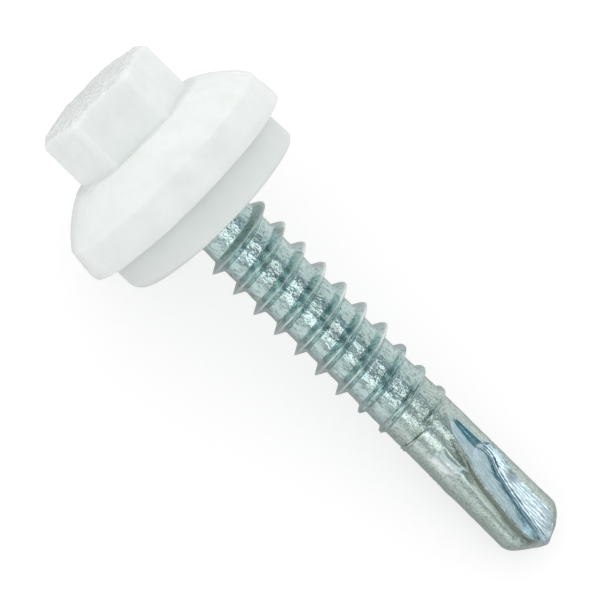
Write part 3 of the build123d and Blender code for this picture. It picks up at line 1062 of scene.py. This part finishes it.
# ---- the studio ----
WHITE = linear("#FFFFFF")
BEHIND_CAMERA = (0.3, 2, 0.1)  # of the part of a direction that points towards the camera
EVERYWHERE = (-2, 2, 0.1)

# Plain light for matt surfaces, a little more from the far side and from over the head, and less
# from under the tip, so that the washer is shaded: (part, from, to, light there, light there).
MATT_LIGHT = (("near", 0, 1, 1.08, 0.92), ("along", 0, 0.7, 0, 0.12),
              ("along", -0.9, -0.5, -0.7, 0))

SEEN_GLOW = 0.66  # of the floor, for the camera
# Painted shadow: the floor that the metal mirrors glows less close beside the screw's axis.
MIRRORED_GLOW = ((4, 0.18), (16, 0.54))  # of the floor in the metal: (millimetres beside it, glow)


def seen_direct(tree):
    """1 for rays that come from the camera or by way of gloss or clear parts."""
    seen = add(tree, "LightPath", take="Is Camera Ray")
    for kind in ("Is Glossy Ray", "Is Transmission Ray"):
        ray = add(tree, "LightPath", take=kind)
        seen = add(tree, "Math", {0: seen, 1: ray}, operation="MAXIMUM")
    return seen


def inside(tree, *limits):
    """1 where each value lies between its limits, with a soft edge: (value, low, high, edge)."""
    share = 1.0
    for value, low, high, edge in limits:
        for outer, inner in ((low - edge, low + edge), (high + edge, high - edge)):
            side = add(tree, "MapRange", {"Value": value, "From Min": outer, "From Max": inner},
                       interpolation_type="SMOOTHSTEP")
            share = add(tree, "Math", {0: share, 1: side}, operation="MULTIPLY")
    return share


def studio_walls(tree, studio, part):
    """What the metal mirrors: pale walls with a soft box on each side of the camera and dark cards.

    Each panel has its tint and its limits across and along the screw: (low, high, soft edge)."""
    soft_box = (studio.soft_box,) * 3
    panels = (
        (studio.left_shade, (-0.85, -0.66, 0.05), EVERYWHERE),
        (studio.side_shade, (0.55, 0.85, 0.05), EVERYWHERE),
        (studio.lens_shade, (-0.24, 0.21, 0.04), EVERYWHERE),
        (soft_box, (-0.55, -0.26, 0.04), EVERYWHERE),
        (soft_box, (0.25, 0.46, 0.04), (-0.6, 0.35, 0.1)),
        (studio.dark_card, (-0.35, 0.55, 0.1), (0.2, 2, 0.1)),
        (studio.side_shade, (-0.35, 0.2, 0.08), (-2, -0.58, 0.08)),
    )
    return layered(tree, studio.light, [
        (inside(tree, (part["near"], *BEHIND_CAMERA), (part["across"], *across),
                (part["along"], *along)), tint) for tint, across, along in panels])


def studio_world(studio, axes):
    """White for the camera, the studio's walls for gloss and plain light for matt surfaces."""
    world = bpy.data.worlds.new("studio_light")
    world.use_nodes = True
    tree = world.node_tree
    tree.nodes.clear()
    # How far a direction points across the screw, along it and towards the camera, from -1 to 1.
    direction = add(tree, "TexCoord", take="Generated")
    rise = studio.camera_rise
    sides = {"across": Vector((1, 0, 0)), "along": Vector((0, sin(rise), cos(rise))),
             "near": Vector((0, -cos(rise), sin(rise)))}
    part = {name: add(tree, "VectorMath", {0: direction, 1: axes.to_3x3() @ side}, "Value",
                      operation="DOT_PRODUCT") for name, side in sides.items()}
    matt = 0.0
    for name, low, high, first, last in MATT_LIGHT:
        share = add(tree, "MapRange", {
            "Value": part[name], "From Min": low, "From Max": high,
            "To Min": studio.level * first, "To Max": studio.level * last})
        matt = add(tree, "Math", {0: matt, 1: share}, operation="ADD")
    shown = layered(tree, matt, ((seen_direct(tree), studio_walls(tree, studio, part)),
                                 (add(tree, "LightPath", take="Is Camera Ray"), WHITE)))
    background = add(tree, "Background", {"Color": shown, "Strength": 1.0})
    add(tree, "OutputWorld", {"Surface": background})
    return world


def paper_floor(studio):
    """Matt white paper. It glows a little where it is seen, so that it meets the white walls, and
    less where the metal mirrors it, least of all close beside the screw, which is a painted shadow
    that only the metal shows."""
    material, tree = new_material("white_paper")
    matt = add(tree, "BsdfDiffuse", {"Color": (*studio.paper, 1)})
    seen = add(tree, "BsdfDiffuse", {"Color": (*studio.seen_paper, 1)})
    beside = add(tree, "SeparateXYZ", {0: add(tree, "TexCoord", take="Object")}, "Y")
    beside = add(tree, "Math", {0: beside}, operation="ABSOLUTE")
    (near, near_glow), (far, far_glow) = MIRRORED_GLOW
    mirrored = add(tree, "MapRange", {"Value": beside, "From Min": near * MM,
                                      "From Max": far * MM, "To Min": near_glow,
                                      "To Max": far_glow})
    camera_ray = add(tree, "LightPath", take="Is Camera Ray")
    glow = add(tree, "MapRange", {"Value": camera_ray, "To Min": mirrored, "To Max": SEEN_GLOW})
    glow = add(tree, "Emission", {"Color": (*WHITE, 1), "Strength": glow})
    seen = add(tree, "AddShader", {0: seen, 1: glow})
    shader = add(tree, "MixShader", {0: seen_direct(tree), 1: matt, 2: seen})
    add(tree, "OutputMaterial", {"Surface": shader})
    return material


class BuildStudio(bpy.types.Operator):
    """Builds the floor, the light and the camera"""
    bl_idname = "roofing_screw.studio"
    bl_label = "Floor, light and camera"

    def execute(self, context):
        scene = context.scene
        studio = scene.roofing_screw.studio
        axes = screw_axes()
        scene.world = studio_world(studio, axes)
        mesh = bmesh.new()
        bmesh.ops.create_grid(mesh, x_segments=1, y_segments=1, size=studio.floor_size / 2)
        data = bpy.data.meshes.new("floor")
        mesh.to_mesh(data)
        mesh.free()
        data.materials.append(paper_floor(studio))
        paper = bpy.data.objects.new("floor", data)
        scene.collection.objects.link(paper)
        rise = studio.camera_rise
        away = axes.to_3x3() @ Vector((0, -cos(rise), sin(rise)))
        right = (axes.to_3x3() @ Vector((1, 0, 1))).cross(away).normalized()
        turn = Matrix((right, away.cross(right), away)).transposed().to_4x4()
        target = axes @ Vector((studio.view_middle_x, 0, studio.view_middle_z))
        camera_data = bpy.data.cameras.new("camera")
        camera_data.lens = camera_data.sensor_width * studio.camera_distance / studio.view_width
        camera_data.clip_start = 0.01
        camera = bpy.data.objects.new("camera", camera_data)
        scene.collection.objects.link(camera)
        camera.matrix_world = Matrix.Translation(target + away * studio.camera_distance) @ turn
        scene.camera = camera
        scene.view_settings.view_transform = "Standard"
        return {"FINISHED"}


class ScrewPanel(bpy.types.Panel):
    """Sidebar panel that builds the roofing screw piece by piece"""
    bl_idname = "VIEW3D_PT_roofing_screw"
    bl_label = "Roofing screw"
    bl_space_type = "VIEW_3D"
    bl_region_type = "UI"
    bl_category = "Screw"

    def draw(self, context):
        for operator in OPERATORS:
            self.layout.operator(operator.bl_idname)


OPERATORS = (BuildSteelScrew, BuildMouldedHead, BuildSealingWasher, BuildStudio)
GROUPS = (SteelScrewSizes, MouldedHeadSizes, WasherSizes, StudioSettings, ScrewPartSettings)


def register():
    for group in GROUPS + OPERATORS + (ScrewPanel,):
        bpy.utils.register_class(group)
    bpy.types.Scene.roofing_screw = PointerProperty(type=ScrewPartSettings)


def unregister():
    del bpy.types.Scene.roofing_screw
    for group in reversed(GROUPS + OPERATORS + (ScrewPanel,)):
        bpy.utils.unregister_class(group)


def main():
    register()
    bpy.ops.roofing_screw.steel_screw()
    bpy.ops.roofing_screw.moulded_head()
    bpy.ops.roofing_screw.sealing_washer()
    bpy.ops.roofing_screw.studio()


if __name__ == "__main__":
    main()
